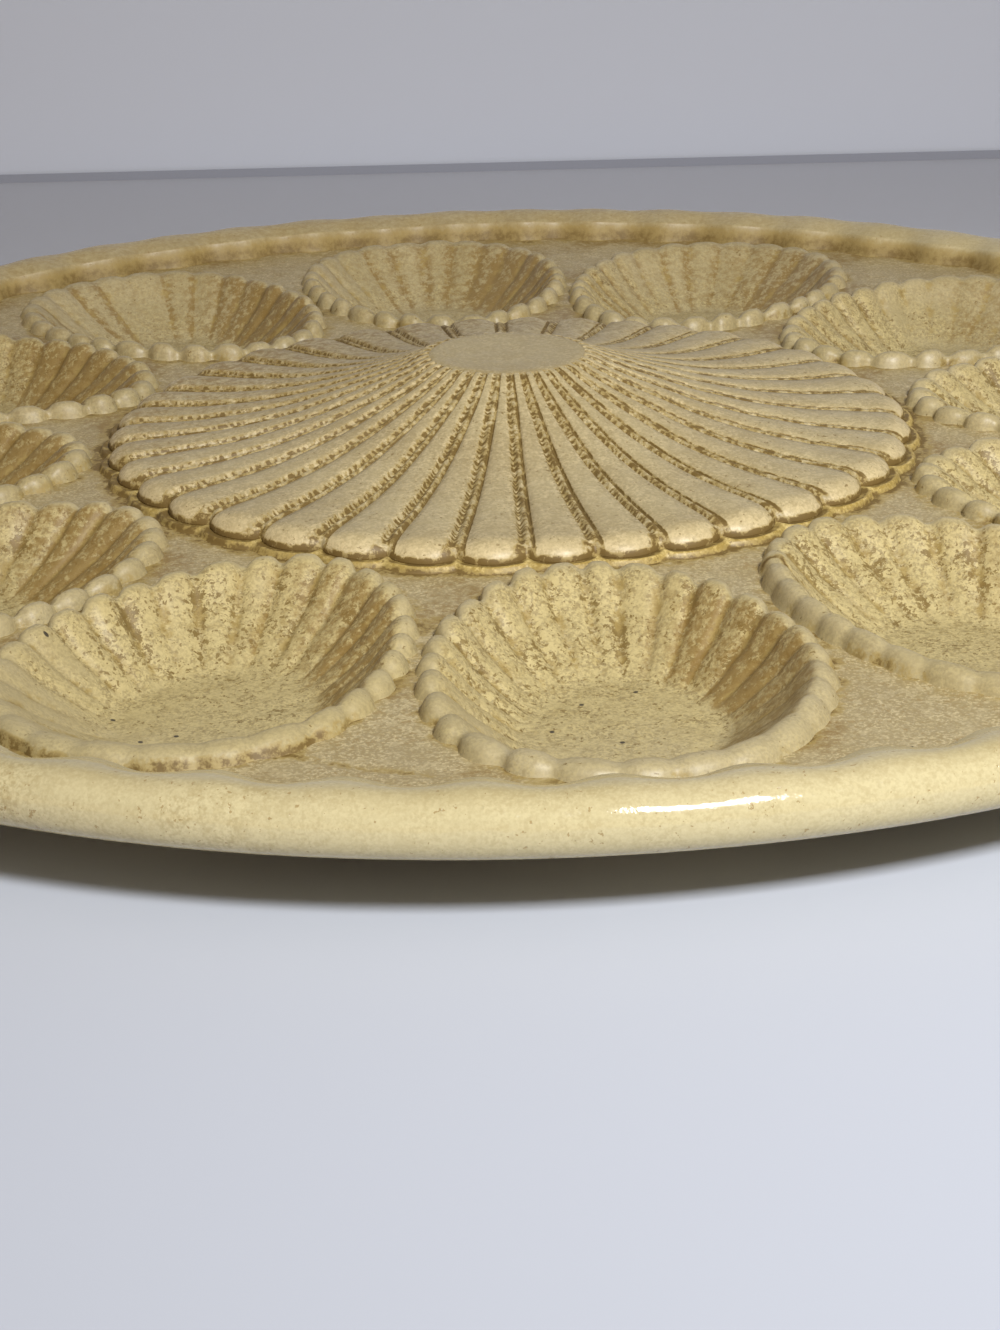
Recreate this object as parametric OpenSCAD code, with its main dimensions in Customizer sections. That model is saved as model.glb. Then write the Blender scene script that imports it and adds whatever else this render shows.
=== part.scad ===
// Oyster plate: twelve fluted wells round a ribbed shell dome, inside a rolled rim.
// The plate is one ceramic casting, modelled as the moulded regions that it is made of.
// Z is up, the plate stands on z = 0, and the middle of the first well lies on the -Y axis.

/* [Plate] */
// Overall diameter of the plate
plate_d = 380; // [340:1:420]
// Thickness of the flat ground between dome, wells and rim
ground_t = 5.5; // [4.5:0.1:6.5]
// Gap below the wells when the plate stands on its foot
base_gap = 1; // [0.5:0.1:2]

/* [Rim] */
// Radius of the rim's round outer edge
rim_roll_r = 5; // [4.2:0.1:5.4]
// Height of the rim's crown above the ground
rim_rise = 6.9; // [6.2:0.1:7.6]
// Width of the rim, from its outer edge to the inward points of its scalloped step
rim_w = 14.3; // [12:0.1:17]
// Height of the scalloped step above the ground
rim_step_h = 4.8; // [3.8:0.1:5.4]
// Depth of the waves in the scalloped step
rim_wave_d = 2.2; // [0.8:0.1:2.6]
// Number of waves round the scalloped step
rim_waves = 60; // [40:1:72]

/* [Wells] */
// Least gap between the lips of two neighbouring wells
well_gap = 0.9; // [0.8:0.1:6]
// Gap between a well's lip and the rim's scalloped step
rim_gap = 3.9; // [2:0.1:8]
// Gap between a well's lip and the dome's tier
dome_gap = 0.8; // [0.8:0.1:5]
// Share by which a well narrows towards the dome
well_egg_share = 0.12; // [0:0.01:0.14]
// Height of the beaded lip above the ground
lip_h = 3; // [2:0.1:3.6]
// Width of the beaded lip, from its outer edge to its crest
lip_w = 2.2; // [1.5:0.1:3]
// Depth of the well's floor below the ground
well_depth = 9.9; // [8.5:0.1:12.5]
// Thickness of the well's floor
floor_t = 4.3; // [3.5:0.1:5.5]
// Number of lobes round the lip of a well
lobes = 28; // [20:1:36]
// Depth of the grooves between the lobes, at the lip
lobe_d = 1.3; // [0.6:0.1:1.6]

/* [Dome] */
// Radius of the dome at the ends of its ribs
dome_r = 80.6; // [72:0.1:84]
// Height of the dome's crown above the ground
dome_h = 17.6; // [14:0.1:21]
// Number of ribs
ribs = 38; // [28:1:44]
// Depth of the grooves between the ribs, at the rib ends
groove_d = 0.9; // [0.4:0.1:1.2]
// Depth of the notches between the rounded rib ends
notch_d = 2.2; // [0.6:0.1:2.4]
// Height of the scalloped tier below the ribs, above the ground
tier_h = 1.1; // [0.6:0.1:1.4]
// Width by which the tier stands out past the ribs
tier_w = 2; // [1.5:0.1:3]
// Turn of the first groove from the middle of the first well, in degrees
rib_turn = 3.3; // [0:0.1:9]
// Radius of the smooth disc on top of the dome
crown_r = 15.6; // [12:0.1:18]
// Wall of the dome, straight down
dome_t = 5.5; // [4.5:0.1:6.5]

/* [Foot] */
// Distance of the foot ring's outer edge inside the ends of the ribs
foot_inset = 10.6; // [6:0.1:15]
// Width of the foot ring where it stands
foot_w = 5; // [4:0.1:7]
// Width that the foot ring gains towards the plate
foot_flare = 2; // [0:0.1:3]

/* [Hidden] */
round_fn = 180;
glaze_cream = "#d9cb94";
glaze_pale = "#cfc39a";
glaze_ground = "#c2b58c";
glaze_gold = "#c9a855";
bisque = "#cbb790";

plate_r = plate_d / 2;
// Heights above the table, from the foot up
base_z = base_gap;
floor_z = base_z + floor_t;
ground_z = floor_z + well_depth;
under_z = ground_z - ground_t;

// Rim: the roll's middle, the step's waves and the arc of the outer edge
crown_z = ground_z + rim_rise;
step_z = ground_z + rim_step_h;
roll_x = plate_r - rim_roll_r;
roll_z = crown_z - rim_roll_r;
step_in_r = plate_r - rim_w;
step_out_r = step_in_r + rim_wave_d;
step_land = 1.2;
arc_steps = 16;
wave_points = 6;
cut_overrun = 1;

// Wells: one for each well node. They fill the space between tier and rim, and their width leaves
// the gap to the neighbour.
well_count = 12;
well_step = 360 / well_count;
well_in_r = dome_r + tier_w + dome_gap;
well_out_r = step_in_r - rim_gap;
well_ring_r = (well_out_r + well_in_r) / 2;
well_b = (well_out_r - well_in_r) / 2;
half_turn = well_step / 2;
// Half of a well's width: the most that leaves half of the gap to the line between two wells, at every
// turn round the well's outline
side_room = well_ring_r * sin(half_turn) - well_gap / 2;
side_lean = well_b * sin(half_turn);
well_a = min([for (t = [45:1:150])
    (side_room + side_lean * cos(t)) / cos(half_turn) / sin(t) / (1 + well_egg_share * cos(t))
]);
lobe_points = 3;
// Share of the way from the lip's crest to the floor, inwards and down, and share of the lobes left
wall_in_share = [0, 0.36, 0.76, 1];
wall_down_share = [0, 0.45, 0.86, 1];
wall_lobe_share = [1, 0.75, 0.4, 0];
// Run of the wall from the lip's crest in to the floor
wall_run = 16.5;
// Share by which the ends of a well draw in further than its sides below the lip, so that the floor is
// nearly round
end_draw_share = 0.6;
// How far in the belly and the base of the outside lie, and how far down the belly lies
belly_in = 7;
belly_drop_share = 0.42;
base_in = 14;

// Dome: radius and height of each ring, as shares from the crown's edge to the rib ends
rib_points = 4;
dome_r_share = [0, 0.15, 0.3, 0.48, 0.72, 0.92, 0.98, 1];
dome_z_share = [1, 0.77, 0.57, 0.375, 0.25, 0.205, 0.13, 0];
// Share of the groove's depth on each ring, from the crown to the rib ends
dome_groove_share = [0.1, 0.35, 0.55, 0.75, 0.9, 1, 0.7, 0];
// Rings of the hollow below, which run back out from the crown's edge
hollow_share = [0, 0.25, 0.5];
hollow_drop_share = [0, 0.5, 1];
tier_z = ground_z + tier_h;
dome_top_z = ground_z + dome_h;
hollow_r = crown_r + (dome_r - crown_r) * hollow_share[2];
foot_r = dome_r - foot_inset;

function polar(r, a) = [r * sin(a), -r * cos(a)];

// A ring of points at height z, from a list of flat points
function lift(flat, z) = [for (p = flat) [p[0], p[1], z]];

// Triangles between the ring of na points that starts at a and the ring of nb points that starts at b.
// na is nb or a multiple of it. The triangles face up when ring b lies inside ring a.
function band(a, na, b, nb) =
    let (k = na / nb)
    concat(
        [for (i = [0:na - 1]) [a + i, b + floor(i / k), a + (i + 1) % na]],
        [for (j = [0:nb - 1]) [b + j, b + (j + 1) % nb, a + ((j + 1) * k) % na]]
    );

// Triangles from the ring of n points that starts at a to one point m, facing up
function fan(a, n, m) = [for (i = [0:n - 1]) [a + i, m, a + (i + 1) % n]];

// Swing of a lobe at phase p: 0 in the middle of a lobe, 1 in the groove between two
function lobe_swing(p) = pow(abs(cos(180 * p)), 3);

// Outline of one well, drawn in by inset, with grooves that are groove deep, at n points.
// The well's own axes are turned by its angle round the plate. Points run anticlockwise.
function well_outline(turn, inset, groove, n) =
    let (
        a = well_a - inset,
        b = well_b - inset - end_draw_share * max(0, inset - lip_w),
        even = (b - a) / (b + a) / 2 * 180 / PI
    )
    [for (i = [0:n - 1])
        let (
            s = 360 * i / n,
            t = s + even * sin(2 * s),
            g = groove * lobe_swing(i * lobes / n),
            w = (a - g) * sin(t) * (1 + well_egg_share * cos(t)),
            r = well_ring_r + (b - g) * cos(t)
        )
        [r * sin(turn) + w * cos(turn), w * sin(turn) - r * cos(turn)]
    ];

// Outline of the scalloped step of the rim
function step_outline() =
    let (n = rim_waves * wave_points, middle = (step_in_r + step_out_r) / 2)
    [for (i = [0:n - 1])
        polar(middle + rim_wave_d / 2 * cos(360 * i / wave_points), 360 * i / n)
    ];

// Outline of the dome's scallops, r at the middle of a rib and r - notch between two
function rib_outline(r, notch, n) =
    [for (i = [0:n - 1])
        let (p = i * ribs / n)
        polar(r - notch * pow(abs(cos(180 * p)), 4), rib_turn + 360 * i / n)
    ];

module outer_rim() {
    color(glaze_cream)
    difference() {
        rotate_extrude($fn = round_fn)
            polygon(concat(
                [for (i = [0:arc_steps])
                    let (a = 180 * i / arc_steps - 90)
                    [roll_x + rim_roll_r * cos(a), roll_z + rim_roll_r * sin(a)]
                ],
                [
                    [step_out_r + step_land, step_z],
                    [step_in_r - cut_overrun, step_z],
                    [step_in_r - cut_overrun, under_z]
                ]
            ));
        translate([0, 0, under_z - cut_overrun])
            linear_extrude(step_z - under_z + 2 * cut_overrun)
                polygon(step_outline());
    }
}

module well_field() {
    outer = step_outline();
    middle = rib_outline(dome_r + tier_w, notch_d, ribs * wave_points);
    well_n = lobes * lobe_points;
    holes = [for (k = [0:well_count - 1]) well_outline(well_step * k, 0, lobe_d, well_n)];
    points = concat(outer, middle, [for (h = holes) each h]);
    first = len(outer) + len(middle);
    color(glaze_ground)
    translate([0, 0, under_z])
        linear_extrude(ground_t)
            polygon(points, concat(
                [[for (i = [0:len(outer) - 1]) i]],
                [[for (i = [0:len(middle) - 1]) len(outer) + i]],
                [for (k = [0:well_count - 1]) [for (i = [0:well_n - 1]) first + k * well_n + i]]
            ));
}

// One oyster well. The rings run from the lip's outer edge over the lip, down the wall to the floor,
// and then from the same outer edge down the outside to the base.
module well(turn) {
    n = lobes * lobe_points;
    m = lobes;
    lip_z = ground_z + lip_h;
    drop = lip_z - floor_z;
    wall = [for (i = [0:2])
        lift(
            well_outline(turn, lip_w + wall_run * wall_in_share[i], lobe_d * wall_lobe_share[i], n),
            lip_z - drop * wall_down_share[i]
        )
    ];
    floor_edge = lift(
        well_outline(turn, lip_w + wall_run * wall_in_share[3], 0, m),
        lip_z - drop * wall_down_share[3]
    );
    belly = lift(
        well_outline(turn, belly_in, 0, m),
        under_z - (under_z - base_z) * belly_drop_share
    );
    base = lift(well_outline(turn, base_in, 0, m), base_z);
    middle = polar(well_ring_r, turn);
    points = concat(
        lift(well_outline(turn, 0, lobe_d, n), ground_z),
        wall[0], wall[1], wall[2],
        floor_edge,
        [[middle[0], middle[1], floor_z]],
        lift(well_outline(turn, 0, lobe_d, n), under_z),
        belly,
        base,
        [[middle[0], middle[1], base_z]]
    );
    under = 4 * n + m + 1;
    up = concat(
        band(0, n, n, n), band(n, n, 2 * n, n), band(2 * n, n, 3 * n, n),
        band(3 * n, n, 4 * n, m), fan(4 * n, m, 4 * n + m)
    );
    down = concat(
        band(under, n, under + n, m), band(under + n, m, under + n + m, m),
        fan(under + n + m, m, under + n + 2 * m)
    );
    side = band(under, n, 0, n);
    color(glaze_cream)
        polyhedron(points, concat(up, side, [for (f = down) [f[2], f[1], f[0]]]));
}

module dome_tier() {
    color(glaze_gold)
    difference() {
        translate([0, 0, under_z])
            linear_extrude(tier_z - under_z)
                polygon(rib_outline(dome_r + tier_w, notch_d, ribs * wave_points));
        translate([0, 0, under_z - cut_overrun])
            cylinder(h = tier_z - under_z + 2 * cut_overrun, r = hollow_r, $fn = round_fn);
    }
}

// The ribbed shell. The rings run from the rib ends up to the crown's edge, then back down inside.
module centre_dome() {
    n = ribs * rib_points;
    last = len(dome_r_share) - 1;
    run = dome_r - crown_r;
    rise = dome_top_z - tier_z;
    hollow_rise = rise - dome_t;
    top = [for (k = [0:last])
        let (
            share = dome_r_share[last - k],
            height = tier_z + rise * dome_z_share[last - k],
            depth = groove_d * dome_groove_share[last - k],
            flat = rib_outline(crown_r + run * share, k < 3 ? notch_d : 0, n)
        )
        [for (i = [0:n - 1]) [flat[i][0], flat[i][1], height - (i % rib_points == 0 ? depth : 0)]]
    ];
    inside = [for (k = [0:len(hollow_share) - 1])
        lift(
            rib_outline(crown_r + run * hollow_share[k], 0, n),
            tier_z + hollow_rise * (1 - hollow_drop_share[k])
        )
    ];
    points = concat([for (ring = top) each ring], [for (ring = inside) each ring]);
    rings = len(top) + len(inside);
    color(glaze_pale)
        polyhedron(points, [for (k = [0:rings - 1]) each band(k * n, n, ((k + 1) % rings) * n, n)]);
}

module dome_crown() {
    depth = groove_d * dome_groove_share[0];
    color(glaze_ground)
    translate([0, 0, dome_top_z - dome_t])
        linear_extrude(dome_t - depth)
            polygon(rib_outline(crown_r, 0, ribs * rib_points));
}

module foot_ring() {
    color(bisque)
    rotate_extrude($fn = round_fn)
        polygon([
            [foot_r - foot_w, 0],
            [foot_r, 0],
            [foot_r + foot_flare / 2, under_z],
            [foot_r - foot_w - foot_flare / 2, under_z]
        ]);
}

outer_rim();
well_field();
for (k = [0:well_count - 1])
    well(well_step * k);
dome_tier();
centre_dome();
dome_crown();
foot_ring();
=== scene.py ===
"""Oyster plate: the glazed surface, the studio and the camera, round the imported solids."""
import math

import bpy
import numpy as np
from mathutils import Matrix, Vector
from mathutils.geometry import delaunay_2d_cdt


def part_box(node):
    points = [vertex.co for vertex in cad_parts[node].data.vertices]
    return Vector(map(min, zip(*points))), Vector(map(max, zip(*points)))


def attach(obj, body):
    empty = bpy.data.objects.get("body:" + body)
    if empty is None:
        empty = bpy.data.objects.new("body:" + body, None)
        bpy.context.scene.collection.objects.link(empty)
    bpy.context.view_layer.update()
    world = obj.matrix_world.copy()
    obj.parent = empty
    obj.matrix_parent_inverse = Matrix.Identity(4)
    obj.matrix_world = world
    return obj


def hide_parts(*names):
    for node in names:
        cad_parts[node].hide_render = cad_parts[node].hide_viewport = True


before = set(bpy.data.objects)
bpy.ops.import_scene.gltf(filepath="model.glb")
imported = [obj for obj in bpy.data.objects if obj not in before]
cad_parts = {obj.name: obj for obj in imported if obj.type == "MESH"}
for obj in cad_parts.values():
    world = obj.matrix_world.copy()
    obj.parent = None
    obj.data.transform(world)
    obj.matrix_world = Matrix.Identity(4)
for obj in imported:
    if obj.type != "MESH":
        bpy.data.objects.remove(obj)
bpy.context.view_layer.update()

# Every length in this script is in millimetres, and a mesh is scaled to metres when it is made.
MM = 0.001


def corner_mm(node, which):
    """The lowest (0) or highest (1) corner of a CAD node, in millimetres."""
    return np.array(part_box(node)[which]) / MM


# Heights and radii that the solids already hold
UNDER_Z = corner_mm("well_field", 0)[2]
GROUND_Z = corner_mm("well_field", 1)[2]
CROWN_Z = corner_mm("outer_rim", 1)[2]
TIER_Z = corner_mm("dome_tier", 1)[2]
DOME_Z = corner_mm("centre_dome", 1)[2]
BASE_Z = corner_mm("well_01", 0)[2]
PLATE_R = min(abs(corner_mm("outer_rim", i)[j]) for i in (0, 1) for j in (0, 1))

# Rim: round outer roll, width of the rim, depth and number of the step's waves, and its heights
ROLL_R = 5.0
RIM_W = 14.3
WAVE_D = 2.2
WAVES = 60
WAVE_TURN = math.radians(-0.4)
STEP_H = 4.7
STEP_RUN = 1.9
# How far the rim's crown swings up and down with the waves, and how far the roll stays below its top
CROWN_SWING = 0.3
ROLL_DROP = 0.35

# Wells: their number, the gaps that set their size, the lobes and the depth of the floor
WELLS = 12
WELL_GAP = 0.9
RIM_GAP = 3.9
DOME_GAP = 0.8
EGG = 0.12
LOBES = 28
LOBE_D = 1.3
# Share by which the ends draw in further than the sides below the lip, whose crest lies LIP_W in
END_DRAW = 0.6
LIP_W = 2.2

# Dome: radius at the rib ends, number of ribs, turn of the first groove, crown and tier
DOME_R = 80.6
RIBS = 38
RIB_TURN = math.radians(4.0)
NOTCH = 2.5
TIER_W = 2.0
TIER_NOTCH = 1.4
# A groove's width at the middle of the dome, how it grows with the radius, and its largest share of a rib
GROOVE_W = 2.1
GROOVE_GROWS = 0.019
GROOVE_SHARE = 0.62
CROWN_R = 15.6
HOLLOW_R = 48.1
DOME_T = 5.5

# Foot ring
FOOT_R = 70.0
FOOT_W = 5.0
FOOT_FLARE = 2.0
FOOT_ROUND = 1.2

STEP_IN_R = PLATE_R - RIM_W
WELL_IN = DOME_R + TIER_W + DOME_GAP
WELL_OUT = STEP_IN_R - RIM_GAP
RING_R = (WELL_OUT + WELL_IN) / 2
WELL_B = (WELL_OUT - WELL_IN) / 2
HALF_TURN = math.pi / WELLS
SIDE_TURNS = np.radians(np.arange(45, 151))
SIDE_ROOM = RING_R * math.sin(HALF_TURN) - WELL_GAP / 2 + WELL_B * math.sin(HALF_TURN) * np.cos(SIDE_TURNS)
WELL_A = np.min(SIDE_ROOM / math.cos(HALF_TURN) / np.sin(SIDE_TURNS) / (1 + EGG * np.cos(SIDE_TURNS)))
# How far the two corners of a well towards the rim bulge, left and right, where it isn't an even oval
CORNERS = {0: (2.4, -1.6), 1: (2.0, 0.4), 11: (0.2, 2.4)}
CORNER_AT = math.radians(50)
CORNER_WIDE = 0.5

# Points round one lobe of a well, closer together at the crease where it starts
LOBE_PLACES = np.array([0, 0.06, 0.13, 0.21, 0.31, 0.43, 0.57, 0.69, 0.79, 0.87, 0.94])
# Points across the groove between two ribs, from -1 to 1, and along the back of a rib, from 0 to 1
GROOVE_PLACES = np.array([-1, -0.82, -0.68, -0.55, -0.42, -0.25, 0, 0.3, 0.5, 0.62, 0.74, 0.88])
BACK_PLACES = np.linspace(0, 1, 7)[:-1]
WAVE_POINTS = 12


def smooth(t):
    """0 to 1 with level ends."""
    t = np.clip(t, 0.0, 1.0)
    return t * t * (3.0 - 2.0 * t)


def curve(x, places, heights):
    """A smooth curve without overshoot through the given places and heights.

    It is level at its ends, but keeps its first slope where the places start below 0."""
    p, h = np.array(places, float), np.array(heights, float)
    slope = np.diff(h) / np.diff(p)
    m = np.zeros_like(h)
    both = slope[:-1] * slope[1:] > 0
    mean = np.where(both, 2 * slope[:-1] * slope[1:] / np.where(both, slope[:-1] + slope[1:], 1), 0)
    m[1:-1] = mean
    m[0], m[-1] = slope[0] if places[0] < 0 else 0.0, 0.0
    x = np.clip(x, p[0], p[-1])
    k = np.clip(np.searchsorted(p, x, side="right") - 1, 0, len(p) - 2)
    w = p[k + 1] - p[k]
    t = (x - p[k]) / w
    return (
        h[k] * (1 + 2 * t) * (1 - t) ** 2 + m[k] * w * t * (1 - t) ** 2
        + h[k + 1] * t * t * (3 - 2 * t) + m[k + 1] * w * t * t * (t - 1)
    )


def ripple(x, y, size, seed, terms=9):
    """Smooth random waves of about that size, mostly from -1 to 1, the same on every run."""
    draw = np.random.RandomState(seed)
    total = np.zeros(np.broadcast(x, y).shape)
    for _ in range(terms):
        way, phase = draw.uniform(0, 2 * math.pi, 2)
        k = 2 * math.pi / size * draw.uniform(0.6, 1.5)
        total += np.sin(k * (x * math.cos(way) + y * math.sin(way)) + phase)
    return total / math.sqrt(terms) / 1.2


def sway(x, y):
    """Height of the casting's slight unevenness, which every upper surface shares."""
    return 0.10 * ripple(x, y, 46, 3) + 0.05 * ripple(x, y, 17, 4)


def spin(r, a):
    """Flat point at radius r and angle a, counted from -Y towards +X."""
    return r * np.sin(a), -r * np.cos(a)


# The photograph's camera: it stands in front, a little to the left of the first well. UNIT is the length
# in which it was fitted, and FRAME_PX is the height of the frame.
VIEW_TURN = math.radians(-7.71)
UNIT = 78.0
CAM_BACK = 6.404 * UNIT
CAM_UP = 1.915 * UNIT + 18.0
PITCH = 0.385
ROLL = -0.026
YAW = 0.006
FOCAL_PX = 2565.342
FRAME_PX = 1330
SENSOR_MM = 36.0


def turned(x, y, z):
    """A point or direction of the photograph's own axes, turned into the plate's frame."""
    c, s = math.cos(VIEW_TURN), math.sin(VIEW_TURN)
    return Vector((x * c - y * s, x * s + y * c, z))


def deeper(x, y):
    """The glaze is deeper and more golden towards the back left of the plate: 0 in front, 1 there."""
    back, right = turned(0, 1, 0), turned(1, 0, 0)
    return smooth((0.8 * (x * back.x + y * back.y) - 0.6 * (x * right.x + y * right.y) + 60) / 200)


# What the glaze does at a point: pooled, with painted shade in some pools; thin and cream, with painted
# light in places;
# flecked; stained amber, with painted shade in places; matt; and in a row of dashes with its beat
LOOKS = ("pool_and_shade", "thin_and_lit", "speck", "stain_and_shade", "matt", "row", "beat")


class Skin:
    """Collects rings of points into one closed mesh, with what the glaze does at each point."""

    def __init__(self):
        self.points, self.faces, self.count = [], [], 0
        self.values = {key: [] for key in LOOKS}
        self.sharp = []

    def ring(self, x, y, z, pool_and_shade=0.0, thin_and_lit=0.0, speck=0.0, stain_and_shade=0.0, matt=0.0, row=0.0, beat=0.0):
        """Adds one ring and returns the number of its first point."""
        n = len(x)
        self.points.append(np.stack([x, y, np.broadcast_to(z, x.shape)], -1))
        for key, value in zip(LOOKS, (pool_and_shade, thin_and_lit, speck, stain_and_shade, matt, row, beat)):
            self.values[key].append(np.broadcast_to(np.asarray(value, float), (n,)))
        first = self.count
        self.count += n
        return first

    def band(self, a, b, n):
        """Faces between ring a and ring b, facing up when b lies inside a."""
        i = np.arange(n)
        j = (i + 1) % n
        self.faces.append(np.stack([a + i, a + j, b + j, b + i], -1))

    def bands(self, rings, n):
        """Faces from each ring of a run to the next."""
        for a, b in zip(rings[:-1], rings[1:]):
            self.band(a, b, n)

    def cap(self, a, n, up):
        """One point in the middle of ring a, joined to it."""
        ring = np.concatenate(self.points)[a:a + n]
        middle = ring.mean(0)
        look = {key: np.concatenate(rows)[a:a + n].mean() for key, rows in self.values.items()}
        first = self.ring(middle[:1], middle[1:2], middle[2:], **look)
        i = np.arange(n)
        j = (i + 1) % n
        c = np.full(n, first)
        fan = np.stack([a + i, a + j, c], -1) if up else np.stack([a + j, a + i, c], -1)
        self.faces.append(fan)

    def crease(self, n, *rings):
        """Marks these rings as sharp edges, so that the shading doesn't bend round them."""
        i = np.arange(n)
        for a in rings:
            self.sharp.append(np.stack([a + i, a + (i + 1) % n], -1))

    def build(self, name, slot, nodes):
        """Makes the object, and says what it replaces and how it looks."""
        points = np.concatenate(self.points) * MM
        mesh = bpy.data.meshes.new(name)
        faces = [row for block in self.faces for row in block.tolist()]
        mesh.from_pydata(points.tolist(), [], faces)
        mesh.update()
        for key, rows in self.values.items():
            value = np.concatenate(rows).astype(np.float32)
            if value.any():
                mesh.attributes.new(key, "FLOAT", "POINT").data.foreach_set("value", value)
        mesh.shade_smooth()
        mesh.materials.append(materials[slot])
        if self.sharp:
            ends = np.empty(len(mesh.edges) * 2, np.int64)
            mesh.edges.foreach_get("vertices", ends)
            ends = np.sort(ends.reshape(-1, 2), 1)
            wanted = np.sort(np.concatenate(self.sharp), 1)
            size = self.count + 1
            flags = np.isin(ends[:, 0] * size + ends[:, 1], wanted[:, 0] * size + wanted[:, 1])
            layer = mesh.attributes.new("sharp_edge", "BOOLEAN", "EDGE")
            layer.data.foreach_set("value", flags)
        piece = bpy.data.objects.new(name, mesh)
        bpy.context.scene.collection.objects.link(piece)
        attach(piece, "root")
        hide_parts(*nodes)


def even_turns(n):
    """n evenly spaced angles round the plate."""
    return 2 * math.pi * np.arange(n) / n


def drift(a):
    """How far hand work moved the ribs from an even spacing, in radians."""
    return np.radians(
        0.6 * np.cos(a + 2.67) + 1.3 * np.cos(2 * a + 2.43) + 1.1 * np.cos(3 * a + 0.61)
    )


def dome_ring(r):
    """Angle, phase across a rib, place in the groove and rib number of each point at radius r.

    The phase is 0 in the middle of a groove and 1 on the back of a rib. The place is -1 to 1 in the
    groove and 2 on the back."""
    pitch = 2 * math.pi / RIBS
    kind = np.concatenate([GROOVE_PLACES, 2 + BACK_PLACES])
    rib = np.repeat(np.arange(RIBS), len(kind))
    kind = np.tile(kind, RIBS)
    half = min(GROOVE_W + GROOVE_GROWS * r, GROOVE_SHARE * pitch * r) / 2 / r
    on_back = kind > 1
    offset = np.where(on_back, half + (kind - 2) * (pitch - 2 * half), kind * half)
    plain = RIB_TURN + rib * pitch + offset
    phase = np.abs(((offset / pitch + 0.5) % 1.0) - 0.5) * 2
    return plain + drift(plain), phase, np.where(on_back, 2.0, kind), rib


def rib_end_r(phase):
    """Radius at which the ribs end: rounded lobes with a notch between two."""
    return DOME_R - NOTCH * (1 - phase) ** 2.2


def tier_r(phase):
    """Outer radius of the scalloped tier."""
    return DOME_R + TIER_W - TIER_NOTCH * (1 - phase) ** 2


def step_r(a):
    """Radius of the foot of the rim's scalloped step."""
    return STEP_IN_R + WAVE_D / 2 + WAVE_D / 2 * np.cos(WAVES * (a - WAVE_TURN))


def lobe_turns(k):
    """Place of each point round well k, counted in lobes, with lobes of slightly uneven width."""
    draw = np.random.RandomState(60 + k)
    start = np.arange(LOBES) + draw.uniform(-0.09, 0.09, LOBES)
    width = np.roll(start, -1) - start
    width[-1] += LOBES
    return (start[:, None] + width[:, None] * LOBE_PLACES).ravel()


def crease_depth(n):
    """0 on the middle of each lobe and 1 in the soft crease between two."""
    return ((1 + np.cos(2 * math.pi * np.tile(LOBE_PLACES, n))) / 2) ** 2.4


# Places on the lips that differ, by well: the turn round the well and the reach, both in degrees, and the
# amount. There the lobes are worn smooth, the lip stands higher, its outside is gentler than elsewhere,
# or its beads are fuller.
WORN = {0: (40, 45, 0.5), 1: (255, 62, 0.7), 11: (20, 50, 0.4)}
RAISED = {1: (238, 40, 0.7)}
EASED = {0: (65, 45, 0.4), 1: (240, 50, 0.4), 11: (50, 40, 0.3)}
EASED_ELSEWHERE = 0.6
PROUD = {0: (300, 50, 0.5)}
# How deep the creases are on the side towards the dome, and how much less towards the rim
RELIEF_MOST = 1.4
RELIEF_LESS = 0.85


def stretch(places, k, t):
    """How far the turn t round well k lies in that well's stretch of places, times its amount."""
    middle, reach, amount = places.get(k, (0, 1, 0.0))
    away = (np.degrees(t) - middle + 180) % 360 - 180
    return amount * np.exp(-(away / reach) ** 2)


def relief(k, t):
    """The lobes are full towards the dome, and low and soft towards the rim, where t is 0."""
    full = RELIEF_MOST - RELIEF_LESS * smooth((np.cos(t) + 0.3) / 1.2)
    return full * (1 - stretch(WORN, k, t)) + stretch(PROUD, k, t)


def well_size(inset):
    """Half width and half length of a well at that inset."""
    return WELL_A - inset, WELL_B - inset - END_DRAW * max(0.0, inset - LIP_W)


def well_turns(k, inset):
    """Turn round well k of each point of its ring at that inset, spaced evenly round the oval."""
    s = 2 * math.pi * lobe_turns(k) / LOBES
    a, b = well_size(inset)
    return s + (b - a) / (a + b) / 2 * np.sin(2 * s)


def well_plan(k, inset, groove):
    """Flat points of a ring of well k, drawn in by inset, and by groove more in the creases."""
    a, b = well_size(inset)
    t = well_turns(k, inset)
    g = groove * crease_depth(LOBES) * relief(k, t)
    left, right = CORNERS.get(k, (0.6, 0.6))
    bulge = right * np.exp(-((t - CORNER_AT) / CORNER_WIDE) ** 2)
    bulge = bulge + left * np.exp(-((t - 2 * math.pi + CORNER_AT) / CORNER_WIDE) ** 2)
    bulge = bulge * (1 - smooth(inset / 26))
    w = (a - g) * np.sin(t) * (1 + EGG * np.cos(t)) + bulge * np.sin(t)
    r = RING_R + (b - g + bulge) * np.cos(t)
    turn = 2 * HALF_TURN * k
    return r * math.sin(turn) + w * math.cos(turn), w * math.sin(turn) - r * math.cos(turn)


# Height of a well above the ground, and depth of its creases, by the distance in from its outer edge
WELL_IN_MM = [0, 0.3, 0.7, 1.2, 1.8, 2.6, 3.8, 5.5, 8, 11, 14, 16.4, 18.0, 30]
WELL_UP_MM = [0, 1.1, 2.1, 2.75, 3.05, 2.9, 2.0, 0.4, -2.2, -5.0, -7.7, -9.5, -9.9, -9.9]
CREASE_MM = [0, 0.35, 0.7, 0.9, 1.05, 1.1, 1.05, 0.95, 0.8, 0.58, 0.34, 0.12, 0.0, 0.0]
# Where the outside of a lip is gentle, its crest lies further in
EASE_FROM_MM = [0, 3.3, 8, 30]
EASE_TO_MM = [0, 1.8, 8, 30]
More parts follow.
